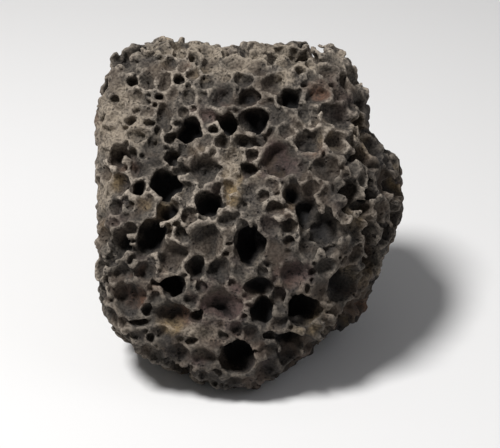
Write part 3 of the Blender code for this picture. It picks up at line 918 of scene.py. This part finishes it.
def add_node(tree: Tree, kind: str, settings: dict | None = None, *first: object, **named: object) -> Node:
    """Adds a shader node.

    Args:
        tree: where it goes.
        kind: the node's type without ShaderNode, such as TexNoise.
        settings: properties of the node itself.
        *first: values or output sockets for its first inputs, in their order.
        **named: the same for other inputs, by name, or as _6, _7 and so on where names repeat.

    Returns:
        The node.
    """
    node = tree.nodes.new("ShaderNode" + kind)
    for name, value in (settings or {}).items():
        setattr(node, name, value)
    sockets = [node.inputs[int(name[1:]) if name[0] == "_" else name] for name in named]
    for socket, value in zip([*node.inputs[: len(first)], *sockets], [*first, *named.values()]):
        if isinstance(value, Socket):
            tree.links.new(value, socket)
        else:
            socket.default_value = value
    return node


@dataclass(frozen=True)
class Tint:
    """A colour that lies over the ones before it, wherever one of the stone's marks says so.

    Attributes:
        mark: the mark, an attribute of the stone from 0 to 1.
        colour: sRGB hex.
        grained: what the mark is multiplied by where the grain is low and high.
    """

    mark: str
    colour: str
    grained: Grades


@dataclass(frozen=True)
class ScoriaFinish:
    """Scoria, basaltic lava that froze as froth: iron-rich glass and fine crystals, broken and never worked.

    Fresh walls are dark and dull. Weather leaves a pale dusting and mineral crust on the ridges, iron in the
    glass rusts to mauve, ochre and brown in patches, and the finest bubbles pit all of it. The pale dusting
    is also painted
    light: it grows upwards and to the left, towards the lamp, and on the ridge crests it is partly a painted
    highlight.
    The pits' middles and the deep hollows are painted dark as shade, and some lighter flecks of the grain are
    painted glints.

    Attributes:
        wall_dark: the fresh walls' darkest colour.
        walls: patterns that the walls drift with, the colours they drift to, and how far.
        tints: what lies over the walls, lowest first.
        grain_mm: size of the crystals, drawn three times too large so that they show.
        pit_mm: distance between the finest bubbles.
        mottle_mm, drift_mm: sizes of the lighter and of the browner areas.
        noise_detail: how many finer sizes are added to each of those.
        pit_edges: from a pit's middle, over the distance between pits, the share of a pit that is there.
        pit_variety: what is added to that distance by the mottle, so that pits are small or missing there.
        pit_painted_shade: what the colour is multiplied by with the share of a pit, which paints shade into
            the pits.
        specks_and_glints: what the colour is multiplied by with the grain; its lighter flecks are partly
            painted glints.
        dullness: roughness with the mottle.
        gloss: specular level, low because the pitted glass scatters what it reflects.
        relief_mm: height of the grain, and depth of the pits.
    """

    wall_dark: str = "#1f1b19"
    walls: tuple[tuple[str, str, Grades], ...] = (
        ("mottle", "#34302c", (0.35, 0.68, 0.0, 1.0)),
        ("drift", "#40352c", (0.46, 0.62, 0.0, 0.75)),
    )
    tints: tuple[Tint, ...] = (
        # Pale dusting all over, and painted light: its share grows upwards and to the left, towards the lamp
        Tint("dust_and_light_veil", "#8a8073", (0.30, 0.65, 0.04, 0.27)),
        Tint("mauve", "#4a3a37", (0.30, 0.60, 0.4, 0.85)),
        Tint("rust", "#583f31", (0.30, 0.60, 0.4, 0.85)),
        Tint("ochre", "#78664a", (0.30, 0.60, 0.4, 0.9)),
        # Pale dusting on the ridges, partly a painted highlight on the crests, and paler upwards and to the
        # left as painted light
        Tint("ridge", "#9c9184", (0.32, 0.58, 0.42, 1.0)),
        Tint("crust", "#877c6e", (0.36, 0.56, 0.45, 1.0)),
        # Painted shade: deep, enclosed hollows are painted near-black
        Tint("hollow", "#110f0f", (0.0, 1.0, 1.0, 1.0)),
    )
    grain_mm: float = 0.42
    pit_mm: float = 0.85
    mottle_mm: float = 2.2
    drift_mm: float = 5.0
    noise_detail: float = 3.0
    pit_edges: Grades = (0.14, 0.36, 1.0, 0.0)
    pit_variety: Grades = (0.40, 0.60, 0.0, 0.32)
    # Painted shade: the pits' middles are darkened
    pit_painted_shade: Grades = (0.0, 1.0, 1.0, 0.45)
    # Lighter flecks of the grain are partly painted glints
    specks_and_glints: Grades = (0.25, 0.75, 0.80, 1.20)
    dullness: Grades = (0.3, 0.7, 0.78, 0.96)
    gloss: float = 0.35
    relief_mm: float = 0.22

    def build(self) -> bpy.types.Material:
        """Makes the material, which reads the stone's own marks.

        Returns:
            The material.
        """
        material = bpy.data.materials.new("scoria")
        material.use_nodes = True
        tree = material.node_tree
        shader = tree.nodes["Principled BSDF"]
        place = add_node(tree, "TexCoord").outputs["Object"]
        patterns = {}
        for name in ("grain", "mottle", "drift"):
            scale = 1 / (getattr(self, f"{name}_mm") * MM)
            noise = add_node(tree, "TexNoise", Vector=place, Scale=scale, Detail=self.noise_detail)
            patterns[name] = noise.outputs[0]
        cells = add_node(tree, "TexVoronoi", Vector=place, Scale=1 / (self.pit_mm * MM)).outputs["Distance"]
        rarer = add_node(tree, "MapRange", EASED, patterns["mottle"], *self.pit_variety).outputs[0]
        away = add_node(tree, "Math", {"operation": "ADD"}, cells, rarer).outputs[0]
        patterns["pits"] = add_node(tree, "MapRange", EASED, away, *self.pit_edges).outputs[0]
        dullness = add_node(tree, "MapRange", EASED, patterns["mottle"], *self.dullness).outputs[0]
        tree.links.new(self.colour(tree, patterns), shader.inputs["Base Color"])
        tree.links.new(dullness, shader.inputs["Roughness"])
        tree.links.new(self.relief(tree, patterns), shader.inputs["Normal"])
        shader.inputs["Specular IOR Level"].default_value = self.gloss
        return material

    def colour(self, tree: Tree, patterns: dict[str, Socket]) -> Socket:
        """Lays the walls' colours and the tints over each other, and darkens the pits with painted shade.

        Args:
            tree: where the nodes go.
            patterns: the grain and what else is drawn, by name.

        Returns:
            The colour.
        """
        layers = []
        for name, code, grades in self.walls:
            layers.append((add_node(tree, "MapRange", EASED, patterns[name], *grades).outputs[0], code))
        for tint in self.tints:
            mark = add_node(tree, "Attribute", {"attribute_name": tint.mark}).outputs["Fac"]
            grained = add_node(tree, "MapRange", EASED, patterns["grain"], *tint.grained).outputs[0]
            share = add_node(tree, "Math", {"operation": "MULTIPLY"}, mark, grained).outputs[0]
            layers.append((share, tint.colour))
        colour = srgb(self.wall_dark)
        for share, code in layers:
            colour = add_node(tree, "Mix", {"data_type": "RGBA"}, share, _6=colour, _7=srgb(code)).outputs[2]
        for pattern, grades in (("grain", self.specks_and_glints), ("pits", self.pit_painted_shade)):
            factor = add_node(tree, "MapRange", EASED, patterns[pattern], *grades).outputs[0]
            colour = add_node(tree, "VectorMath", {"operation": "SCALE"}, colour, Scale=factor).outputs[0]
        return colour

    def relief(self, tree: Tree, patterns: dict[str, Socket]) -> Socket:
        """Raises the grain and sinks the pits, as a bend of the normal.

        Args:
            tree: where the nodes go.
            patterns: the grain and what else is drawn, by name.

        Returns:
            The normal.
        """
        raised, sunk = patterns["grain"], patterns["pits"]
        height = add_node(tree, "Math", {"operation": "SUBTRACT"}, raised, sunk).outputs[0]
        return add_node(tree, "Bump", Height=height, Distance=self.relief_mm * MM).outputs[0]


@dataclass
class LavaRock:
    """The whole stone, with what its finish needs to know at each point.

    Attributes:
        hull: the stone without its bubbles.
        pitch: distance between the field's points.
        room: how far the field goes beyond the hull.
        plan_middle: across and into the rock, the middle of its plan from the heart.
        triangles: how many the mesh keeps.
        ridge_reach, hollow_reach: over what distance a ridge and a hollow are told from level ground.
        hollow_shade_depth: depths below the hull between which a bubble's wall is painted dark, as painted
            shade.
        ragged_cell: cell of the noise that makes the patches' rims ragged.
        patch_cell: cell of the noise whose peaks are patches outside the ones that are set out.
        patch_rarity: how high those peaks are, in standard deviations.
        patch_seed: what draws the dust's and the patches' noise.
        least_dust_and_light, dust_and_light_slope: share of dusting at the foot, and what a millimetre
        across, in and up adds; the slope is painted light, paler upwards and to the left, towards the lamp.
        dust_clouds: mean, spread and least share of dust that the patch noise leaves.
        dust_fade: what depth takes from the dust: the share at the hull before it is held to 1, and the depth
            over which it falls by 1.
        ridge_edge, hollow_edge: share of stone about a point where a ridge or a hollow starts, and over how
            much more or less it becomes whole.
        hidden_patches: how much of the noise's patches the show side, which has its own, leaves out.
        raggedness: how far noise changes a patch.
        feelers: in how many directions the hull's size is felt out.
    """

    hull: Hull
    pitch: float = 0.25
    room: float = 1.0
    plan_middle: tuple[float, float] = (0.077, 0.768)
    triangles: int = 192000
    ridge_reach: float = 0.45
    hollow_reach: float = 1.8
    hollow_shade_depth: tuple[float, float] = (1.4, 4.2)
    ragged_cell: float = 1.0
    patch_cell: float = 3.0
    patch_rarity: float = 1.1
    patch_seed: int = 8
    least_dust_and_light: float = 0.02
    dust_and_light_slope: tuple[float, float, float] = (-0.012, 0.0, 0.028)
    dust_clouds: tuple[float, float, float] = (0.75, 0.25, 0.45)
    dust_fade: tuple[float, float] = (1.6, 2.0)
    ridge_edge: tuple[float, float] = (0.41, 0.14)
    hollow_edge: tuple[float, float] = (0.45, 0.25)
    hidden_patches: float = 0.75
    raggedness: float = 0.4
    feelers: int = 20000

    def build(self) -> bpy.types.Object:
        """Works out the stone's skin, thins it, marks it and gives it its finish.

        Returns:
            The stone's object.
        """
        grid = self.grid()
        froth = Froth(self.hull)
        log.info("froth: %d bubbles", len(froth.kinds))
        stone = StoneField(self.hull, froth, grid)
        skin = Skin(grid, stone.values)
        log.info("skin: %d points", len(skin.points))
        rock = self.thinned(skin)
        points = np.empty(len(rock.data.vertices) * 3, np.float32)
        rock.data.vertices.foreach_get("co", points)
        points = points.reshape(-1, 3)
        for name, values in self.marks(grid, stone, points).items():
            attribute = rock.data.attributes.new(name, "FLOAT", "POINT")
            attribute.data.foreach_set("value", values.astype(np.float32))
        points -= (*self.plan_middle, 0.0)
        rock.data.vertices.foreach_set("co", (points * MM).ravel())
        rock.data.shade_smooth()
        rock.data.update()
        rock.data.materials.append(ScoriaFinish().build())
        log.info("rock: %d triangles", sum(len(face.vertices) - 2 for face in rock.data.polygons))
        return rock

    def grid(self) -> Grid:
        """Lays the field's grid round the hull.

        Returns:
            The grid.
        """
        points = self.hull.along(random_directions(np.random.default_rng(0), self.feelers))
        return Grid(tuple(points.min(axis=0) - self.room), tuple(points.max(axis=0) + self.room), self.pitch)

    def thinned(self, skin: Skin) -> bpy.types.Object:
        """Makes the skin an object and collapses its smallest faces until the kept number is left.

        Args:
            skin: the stone's surface, in mm.

        Returns:
            The object, still in mm.
        """
        mesh = bpy.data.meshes.new("lava_rock_skin")
        mesh.vertices.add(len(skin.points))
        mesh.vertices.foreach_set("co", skin.points.ravel())
        mesh.loops.add(skin.faces.size)
        mesh.loops.foreach_set("vertex_index", skin.faces.ravel())
        mesh.polygons.add(len(skin.faces))
        mesh.polygons.foreach_set("loop_start", np.arange(0, skin.faces.size, 4))
        mesh.update(calc_edges=True)
        rock = bpy.data.objects.new("lava_rock_stone", mesh)
        bpy.context.scene.collection.objects.link(rock)
        thin = rock.modifiers.new("thin", "DECIMATE")
        # A four-sided face counts as two triangles
        thin.ratio = self.triangles / (2 * len(skin.faces))
        thin.use_collapse_triangulate = True
        graph = bpy.context.evaluated_depsgraph_get()
        rock.data = bpy.data.meshes.new_from_object(rock.evaluated_get(graph), depsgraph=graph)
        rock.modifiers.clear()
        bpy.data.meshes.remove(mesh)
        return rock

    def marks(self, grid: Grid, stone: StoneField, points: np.ndarray) -> dict[str, np.ndarray]:
        """Works out what the finish needs to know at each point, from 0 to 1.

        A ridge has more air than stone about it, and a hollow more stone: the share of stone within reach of
        the point, averaged with a bell curve. A pale dusting lies as a thin layer all over and thickly on the
        ridges, where it is partly a painted highlight on the crests. Its share grows upwards and to the left,
        which is painted light from the lamp at the upper left. Deep hollows are painted near-black, which is
        painted shade. Patches are ovals on the show side, and peaks of noise elsewhere.

        Args:
            grid: where the field is known.
            stone: the field.
            points: the mesh's points in mm.

        Returns:
            Values by attribute name.
        """
        filled = grid.filled(stone.values)
        near = grid.sampled(grid.blurred(filled, self.ridge_reach), points)
        wide = grid.sampled(grid.blurred(filled, self.hollow_reach), points)
        depth = np.minimum(-grid.sampled(stone.beyond, points), points[:, 2])
        rng = np.random.default_rng(self.patch_seed)
        mean, spread, least = self.dust_clouds
        cloudy = np.clip(mean + spread * grid.sampled(grid.noise(self.patch_cell, rng), points), least, 1.0)
        # Painted light: the slope gives more pale dusting upwards and to the left, towards the lamp
        dust_and_light = np.clip(self.least_dust_and_light + points @ np.array(self.dust_and_light_slope), 0.0, 1.0) * cloudy
        surface, fall = self.dust_fade
        kept = np.clip(surface - depth / fall, 0.0, 1.0)
        start, width = self.ridge_edge
        # The ridges' pale dusting is partly a painted highlight on the crests
        marks = {"ridge": dust_and_light * np.clip((start - near) / width, 0.0, 1.0) * kept}
        # Painted shade: walls deep below the hull with much stone about them are painted near-black
        low, high = self.hollow_shade_depth
        start, width = self.hollow_edge
        hollow = np.clip((depth - low) / (high - low), 0.0, 1.0)
        marks["hollow"] = hollow * np.clip((wide - start) / width, 0.0, 1.0)
        marks["dust_and_light_veil"] = dust_and_light
        elsewhere = 1.0 - self.hidden_patches * shown_share(self.hull, points)
        ragged = self.raggedness * grid.sampled(grid.noise(self.ragged_cell, rng), points)
        for stain in Stain:
            peaks = grid.sampled(grid.noise(self.patch_cell, rng), points) - self.patch_rarity
            share = stain_share(self.hull, stain, points)
            share = np.maximum(share, np.clip(peaks, 0.0, 1.0) * elsewhere)
            marks[stain.value] = np.clip(share + ragged * np.clip(2 * share, 0.0, 1.0), 0.0, 1.0)
        return marks


@dataclass(frozen=True)
class Studio:
    """A pale floor, soft light from above and the left, and the camera.

    Attributes:
        floor_size: side of the floor.
        floor, floor_roughness: colour of the floor, and how dull it is.
        room: colour of the light all round, and its strength.
        lamps: place, size, power and colour of each lamp, in metres and watts.
        elevation: how far the camera looks down, in degrees.
        lens: its focal length in mm.
        frame_height: height of the view at the stone, in mm.
        aim: what it looks at, in mm.
        nearest: how near to itself it sees, in metres.
        picture: width and height of the picture in pixels.
    """

    floor_size: float = 4.0
    floor: str = "#e2e1e0"
    floor_roughness: float = 0.9
    room: tuple[str, float] = ("#ffffff", 0.16)
    lamps: tuple[tuple[tuple[float, float, float], float, float, str], ...] = (
        ((-0.17, -0.08, 0.44), 0.12, 2.6, "#ffffff"),
        ((0.30, -0.10, 0.30), 0.30, 0.15, "#f2f5ff"),
    )
    elevation: float = 30.0
    lens: float = 100.0
    frame_height: float = 74.0
    aim: tuple[float, float, float] = (0.0, -3.0, 21.0)
    nearest: float = 0.01
    picture: tuple[int, int] = (500, 448)

    def build(self) -> None:
        """Makes the floor, the lamps, the light all round and the camera."""
        self.lay_floor()
        for number, (place, size, power, colour) in enumerate(self.lamps):
            self.hang_lamp(f"lamp_{number}", place, size, power, colour)
        world = bpy.data.worlds.new("room")
        world.use_nodes = True
        background = world.node_tree.nodes["Background"]
        colour, strength = self.room
        background.inputs["Color"].default_value = srgb(colour)
        background.inputs["Strength"].default_value = strength
        bpy.context.scene.world = world
        bpy.context.scene.view_settings.view_transform = "Standard"
        self.set_camera()

    def lay_floor(self) -> None:
        """Makes the floor as one square sheet."""
        half = self.floor_size / 2
        mesh = bpy.data.meshes.new("floor")
        corners = [(-half, -half, 0), (half, -half, 0), (half, half, 0), (-half, half, 0)]
        mesh.from_pydata(corners, [], [(0, 1, 2, 3)])
        # Pale card is uncoated pulp, so it is bright and dull, and shows a soft shadow and no reflection
        material = bpy.data.materials.new("pale_card")
        material.use_nodes = True
        shader = material.node_tree.nodes["Principled BSDF"]
        shader.inputs["Base Color"].default_value = srgb(self.floor)
        shader.inputs["Roughness"].default_value = self.floor_roughness
        mesh.materials.append(material)
        floor = bpy.data.objects.new("floor", mesh)
        bpy.context.scene.collection.objects.link(floor)

    def hang_lamp(self, name: str, place: tuple[float, ...], size: float, power: float, colour: str) -> None:
        """Hangs a round soft lamp that faces the stone.

        Args:
            name: the lamp's name.
            place: where it hangs, in metres.
            size: its width in metres.
            power: in watts.
            colour: sRGB hex.
        """
        light = bpy.data.lights.new(name, "AREA")
        light.shape = "DISK"
        light.size = size
        light.energy = power
        light.color = srgb(colour)[:3]
        lamp = bpy.data.objects.new(name, light)
        lamp.location = place
        lamp.rotation_euler = (Vector(self.aim) * MM - Vector(place)).to_track_quat("-Z", "Y").to_euler()
        bpy.context.scene.collection.objects.link(lamp)

    def set_camera(self) -> None:
        """Stands the camera off so that the view at the stone is the wanted height."""
        camera = bpy.data.cameras.new("camera")
        camera.lens = self.lens
        camera.clip_start = self.nearest
        width, height = self.picture
        distance = self.frame_height * MM * width / height * self.lens / camera.sensor_width
        rise = math.radians(self.elevation)
        back = Vector((0.0, -math.cos(rise), math.sin(rise)))
        item = bpy.data.objects.new("camera", camera)
        item.location = Vector(self.aim) * MM + back * distance
        item.rotation_euler = (-back).to_track_quat("-Z", "Y").to_euler()
        bpy.context.scene.collection.objects.link(item)
        bpy.context.scene.camera = item


def main() -> None:
    """Builds the stone and the studio, and notes the size before and after."""
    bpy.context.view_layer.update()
    rock = LavaRock(Hull()).build()
    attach(rock, "root")
    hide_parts("lava_rock")
    Studio().build()
    bpy.context.view_layer.update()


if __name__ == "__main__":
    logging.basicConfig(level=logging.INFO, format="%(name)s: %(message)s")
    main()
